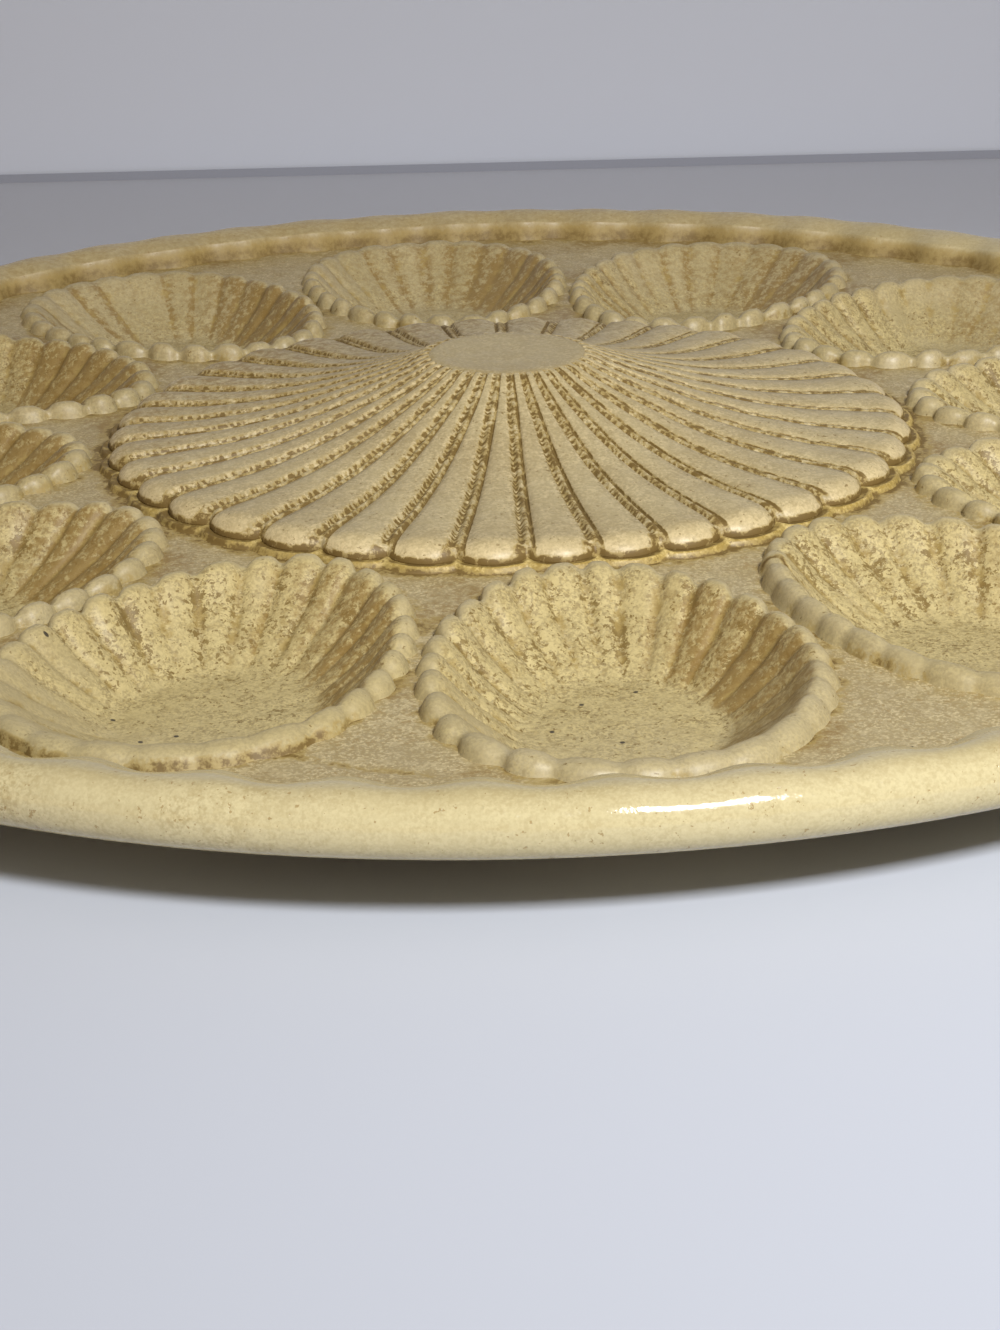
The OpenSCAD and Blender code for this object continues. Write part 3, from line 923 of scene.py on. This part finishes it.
def glaze(name, light, dark, cream, fleck, grain, specks, gloss, pools, shift, ragged=1.0, pits=()):
    """Speckled glaze: mottled body, cream where it is thin and where light is painted, flecks, amber stains
    and painted shade, and brown pools in the creases.

    grain, specks and pools are shares, gloss is the roughness, shift moves the noise, and ragged breaks
    up the edges of stains and pools."""
    p = Paint(name)
    pool_and_shade, thin_and_lit, speck, stain_and_shade, matt, row, beat = [p.value(key) for key in LOOKS]
    beat = p.math("MULTIPLY_ADD", p.noise(2.5, 3, shift=shift + 37), 11.0, beat)
    pool_and_shade = p.math("MULTIPLY_ADD", row, p.fit(p.math("SINE", beat), -0.7, 0.5, 0.0, 0.75), pool_and_shade)
    island = tuple(min(0.85, 1.18 * c) for c in cream)
    shade = tuple(0.55 * c + 0.45 * f for c, f in zip(dark, fleck))
    body = p.mix(p.fit(p.noise(22, 3, shift=shift), 0.35, 0.65), light, dark)
    # Cream where the glaze is thin, and painted light on lit ends and faces
    body = p.mix(p.math("MULTIPLY", thin_and_lit, 0.85), body, cream)
    # Fine grain, lighter and darker, with softer clouds of it
    cloud = p.fit(p.noise(5, 3, 0.6, shift=shift + 2), 0.4, 0.6, 0.6 * grain, grain)
    cloud = p.math("MULTIPLY", cloud, p.fit(speck, 0.0, 0.5, 0.35, 1.0))
    fine = p.noise(0.65, 1.5, 0.7, shift=shift + 5)
    body = p.mix(p.math("MULTIPLY", p.fit(fine, 0.50, 0.61), cloud), body, shade)
    body = p.mix(p.math("MULTIPLY", p.fit(fine, 0.50, 0.40), cloud), body, island)
    pepper = p.fit(p.noise(0.45, 1, 0.5, shift=shift + 9), 0.52, 0.62, 0.0, 0.75)
    body = p.mix(p.math("MULTIPLY", pepper, cloud), body, shade)
    # Broken glaze where it is speckled: cream islands, most of them on the ridges, and tan gaps
    wide = p.math("MULTIPLY", speck, specks)
    mottle = p.math("MULTIPLY_ADD", thin_and_lit, 0.04, p.noise(2.1, 3, 0.75, shift=shift + 7))
    body = p.mix(p.math("MULTIPLY", wide, p.fit(mottle, 0.53, 0.58, 0.0, 0.9)), body, island)
    body = p.mix(p.math("MULTIPLY", wide, p.fit(mottle, 0.51, 0.45, 0.0, 0.45)), body, GOLD)
    # Flecks: many small ones and fewer broad ones, crowded in patches
    patches = p.fit(p.noise(6, 2, 0.6, shift=shift + 13), 0.35, 0.65, -0.035, 0.035)
    least = p.math("SUBTRACT", p.math("SUBTRACT", 0.715, p.math("MULTIPLY", wide, 0.16)), patches)
    small = p.fit(p.math("SUBTRACT", p.noise(1.0, 2, 0.6, shift=shift + 15), least), -0.01, 0.02)
    broad = p.fit(p.math("SUBTRACT", p.noise(2.2, 4, 0.8, shift=shift + 19), least), -0.01, 0.02)
    share = p.math("MAXIMUM", p.math("MULTIPLY", small, 0.75), p.math("MULTIPLY", broad, 0.9))
    body = p.mix(share, body, fleck)
    # Stains: amber glaze, broken up, that runs down a crease, and painted shade that darkens a wall away
    # from the lamp
    run = p.fit(p.noise(1.6, 3, 0.75, shift=shift + 33), 0.35, 0.65, -0.6 * ragged, 0.6 * ragged)
    body = p.mix(p.fit(p.math("MULTIPLY_ADD", run, stain_and_shade, stain_and_shade), 0.05, 0.95, 0.0, 0.85), body, AMBER)
    # Pools: golden at their thin edges, brown where they are deep; some of their brown is painted shade
    wave = p.fit(p.noise(1.8, 3, 0.7, shift=shift + 17), 0.35, 0.65, -0.3 * ragged, 0.3 * ragged)
    deep = p.math("ADD", p.math("MULTIPLY", pool_and_shade, pools), p.math("MULTIPLY", wave, p.fit(pool_and_shade, 0.05, 0.4)))
    body = p.mix(p.fit(deep, 0.08, 0.5, 0.0, 0.75), body, GOLD)
    body = p.mix(p.fit(deep, 0.42, 0.95, 0.0, 0.92), body, BROWN)
    # Pinholes: rare and nearly black, at most one in a cell
    hole = p.node("ShaderNodeTexVoronoi", feature="F1")
    hole.inputs["Scale"].default_value = 1.0 / (PINHOLE_CELL * MM)
    p.link(p.spot, hole.inputs["Vector"])
    split = p.node("ShaderNodeSeparateColor")
    p.link(hole.outputs["Color"], split.inputs[0])
    rare = p.math("GREATER_THAN", split.outputs[0], 0.75)
    dot = p.fit(hole.outputs["Distance"], 0.022, 0.035, 1.0, 0.0)
    body = p.mix(p.math("MULTIPLY", dot, rare), body, BLACK)
    if pits:
        flat = p.node("ShaderNodeVectorMath", operation="MULTIPLY")
        p.link(p.spot, flat.inputs[0])
        flat.inputs[1].default_value = (1 / MM, 1 / MM, 0)
        near = FAR
        for pit in pits:
            gap = p.node("ShaderNodeVectorMath", operation="DISTANCE")
            p.link(flat.outputs[0], gap.inputs[0])
            gap.inputs[1].default_value = turned(*pit, 0)
            near = p.math("MINIMUM", near, gap.outputs["Value"])
        body = p.mix(p.fit(near, PIT_R, PIT_EDGE_R, 0.92, 0.0), body, BLACK)
    p.link(body, p.shader.inputs["Base Color"])
    rough = p.fit(p.noise(4, 3, shift=shift + 21), 0.3, 0.7, gloss - 0.03, gloss + 0.07)
    rough = p.math("MULTIPLY_ADD", pool_and_shade, 0.2, rough)
    rough = p.math("MULTIPLY_ADD", matt, 0.35, rough)
    p.link(rough, p.shader.inputs["Roughness"])
    p.shader.inputs["IOR"].default_value = GLAZE_IOR
    # The glaze dips at the flecks, and has soft dents of two sizes
    dents = p.math("ADD", p.noise(0.9, 3, 0.6, shift=shift + 25), p.math("MULTIPLY", share, -0.8))
    dents = p.math("ADD", dents, p.math("MULTIPLY", p.noise(3.5, 2, shift=shift + 29), 1.5))
    p.bump(dents, 0.35, 0.12)
    return p.material


def bisque():
    """Unglazed clay of the foot ring: matt, buff and finely grained."""
    p = Paint("bare_foot")
    body = p.mix(p.fit(p.noise(5, 3), 0.3, 0.7), (0.60, 0.49, 0.34), (0.48, 0.37, 0.24))
    body = p.mix(p.fit(p.noise(0.5, 2, 0.6, shift=3), 0.5, 0.75, 0.0, 0.5), body, (0.30, 0.20, 0.11))
    p.link(body, p.shader.inputs["Base Color"])
    p.link(p.fit(p.noise(2, 2, shift=7), 0.3, 0.7, 0.72, 0.9), p.shader.inputs["Roughness"])
    p.bump(p.noise(0.6, 3, 0.7, shift=11), 0.5, 0.1)
    return p.material


GLAZES = {
    "rim_glaze": dict(
        light=(0.50, 0.43, 0.245), dark=(0.455, 0.385, 0.205), cream=(0.56, 0.497, 0.29),
        fleck=RUST, grain=0.5, specks=0.9, gloss=0.08, pools=0.9, shift=0.0, ragged=0.3),
    "ground_glaze": dict(
        light=(0.38, 0.315, 0.172), dark=(0.335, 0.27, 0.14), cream=(0.50, 0.42, 0.235),
        fleck=RUST, grain=0.9, specks=0.8, gloss=0.42, pools=1.0, shift=40.0),
    "well_glaze": dict(
        light=(0.45, 0.38, 0.215), dark=(0.39, 0.325, 0.17), cream=(0.465, 0.385, 0.182),
        fleck=OLIVE, grain=0.95, specks=1.0, gloss=0.44, pools=0.95, shift=80.0, pits=PITS),
    "gold_glaze": dict(
        light=(0.41, 0.295, 0.08), dark=(0.36, 0.25, 0.06), cream=(0.58, 0.46, 0.19),
        fleck=OLIVE, grain=0.8, specks=0.8, gloss=0.42, pools=1.1, shift=120.0),
    "dome_glaze": dict(
        light=(0.43, 0.36, 0.20), dark=(0.38, 0.31, 0.165), cream=(0.61, 0.505, 0.285),
        fleck=OLIVE, grain=0.4, specks=0.6, gloss=0.42, pools=1.15, shift=160.0, ragged=1.7),
}
materials = {name: glaze(name, **look) for name, look in GLAZES.items()}
materials["bare_foot"] = bisque()

for make in (make_rim, make_field, make_tier, make_dome, make_crown, make_foot):
    make()
for k in range(WELLS):
    make_well(k)


def plain(name, colour, far_shade_colour=None):
    """A plain matt surface of the studio, which may get painted shade that darkens it far behind the plate.
    """
    p = Paint(name)
    p.shader.inputs["Base Color"].default_value = colour + (1.0,)
    if far_shade_colour:
        split = p.node("ShaderNodeSeparateXYZ")
        p.link(p.spot, split.inputs[0])
        # Plate radii behind the middle of the plate between which the painted shade comes in
        near, far = 0.4, 1.3
        away = p.fit(split.outputs["Y"], PLATE_R * near * MM, PLATE_R * far * MM)
        p.link(p.mix(away, colour, far_shade_colour), p.shader.inputs["Base Color"])
    p.shader.inputs["Roughness"].default_value = 0.8
    p.shader.inputs["Specular IOR Level"].default_value = 0.2
    return p.material


# The studio: half its width, where the wall stands behind the plate, the wall's height, and the height of
# the dark strip that paints the shade in the joint between table and wall
STUDIO_W = 60000
WALL_Y = 350
WALL_H = 1600
JOINT_SHADE_H = 2.8


def slab(name, start, end, colour, far_shade_colour=None):
    """A flat face across the studio, between two lines given by y and z in the photograph's own axes."""
    wide = STUDIO_W
    corners = ((-wide, *start), (wide, *start), (wide, *end), (-wide, *end))
    mesh = bpy.data.meshes.new(name)
    mesh.from_pydata([tuple(c * MM for c in turned(*corner)) for corner in corners], [], [(0, 1, 2, 3)])
    mesh.materials.append(plain(name, colour, far_shade_colour))
    piece = bpy.data.objects.new(name, mesh)
    bpy.context.scene.collection.objects.link(piece)


def make_camera():
    """The photograph's camera, from its height, distance, tilt and lens."""
    ahead = Vector((0, math.cos(PITCH), -math.sin(PITCH)))
    up = Vector((0, math.sin(PITCH), math.cos(PITCH)))
    right = Vector((1, 0, 0))
    yaw = Matrix.Rotation(YAW, 3, "Z")
    ahead, up, right = yaw @ ahead, yaw @ up, yaw @ right
    c, s = math.cos(ROLL), math.sin(ROLL)
    right, up = c * right + s * up, c * up - s * right
    ahead, up, right = turned(*ahead), turned(*up), turned(*right)
    lens = bpy.data.cameras.new("camera")
    lens.sensor_width = SENSOR_MM
    lens.lens = FOCAL_PX * SENSOR_MM / FRAME_PX
    # Metres, so that the floor shows to its far edge
    lens.clip_start, lens.clip_end = 0.01, 100.0
    camera = bpy.data.objects.new("camera", lens)
    pose = Matrix((right, up, -ahead)).transposed().to_4x4()
    pose.translation = turned(0, -CAM_BACK * MM, CAM_UP * MM)
    camera.matrix_world = pose
    bpy.context.scene.collection.objects.link(camera)
    bpy.context.scene.camera = camera


def lamp(name, place, target, size, power, spread):
    """A rectangular soft light at a place in millimetres, in the photograph's own axes."""
    light = bpy.data.lights.new(name, "AREA")
    light.shape = "RECTANGLE"
    light.size, light.size_y = size[0] * MM, size[1] * MM
    light.energy = power
    light.spread = math.radians(spread)
    made = bpy.data.objects.new(name, light)
    at, to = turned(*place) * MM, turned(*target) * MM
    made.matrix_world = (to - at).to_track_quat("-Z", "Y").to_matrix().to_4x4()
    made.matrix_world.translation = at
    bpy.context.scene.collection.objects.link(made)


def make_studio():
    """A pale table and wall, one soft lamp in front on the right, and weak light from all round."""
    # The floor's colour darkens far behind the plate: painted shade
    slab("studio_floor", (-STUDIO_W, 0), (WALL_Y, 0), (0.56, 0.60, 0.69), (0.445, 0.46, 0.51))
    slab("studio_wall", (WALL_Y, 0), (WALL_Y, WALL_H), (0.55, 0.595, 0.69))
    slab("studio_joint_shade", (WALL_Y - 1, 0), (WALL_Y - 1, JOINT_SHADE_H), (0.29, 0.31, 0.37))
    lamp("key", place=(285, -747, 685), target=(55, -35, 0), size=(175, 150), power=1.86, spread=74)
    world = bpy.data.worlds.new("studio")
    bpy.context.scene.world = world
    world.use_nodes = True
    # A warm glow low down, as from the room, and paler light from above
    tree = world.node_tree
    back_light = tree.nodes["Background"]
    way = tree.nodes.new("ShaderNodeTexCoord")
    split = tree.nodes.new("ShaderNodeSeparateXYZ")
    ramp = tree.nodes.new("ShaderNodeValToRGB")
    low, high = ramp.color_ramp.elements
    low.position, low.color = 0.05, (0.74, 0.46, 0.22, 1.0)
    high.position, high.color = 0.4, (0.27, 0.235, 0.195, 1.0)
    tree.links.new(way.outputs["Generated"], split.inputs[0])
    tree.links.new(split.outputs["Z"], ramp.inputs["Fac"])
    tree.links.new(ramp.outputs["Color"], back_light.inputs["Color"])
    back_light.inputs["Strength"].default_value = 1.0


make_camera()
make_studio()
bpy.context.scene.view_settings.view_transform = "Standard"
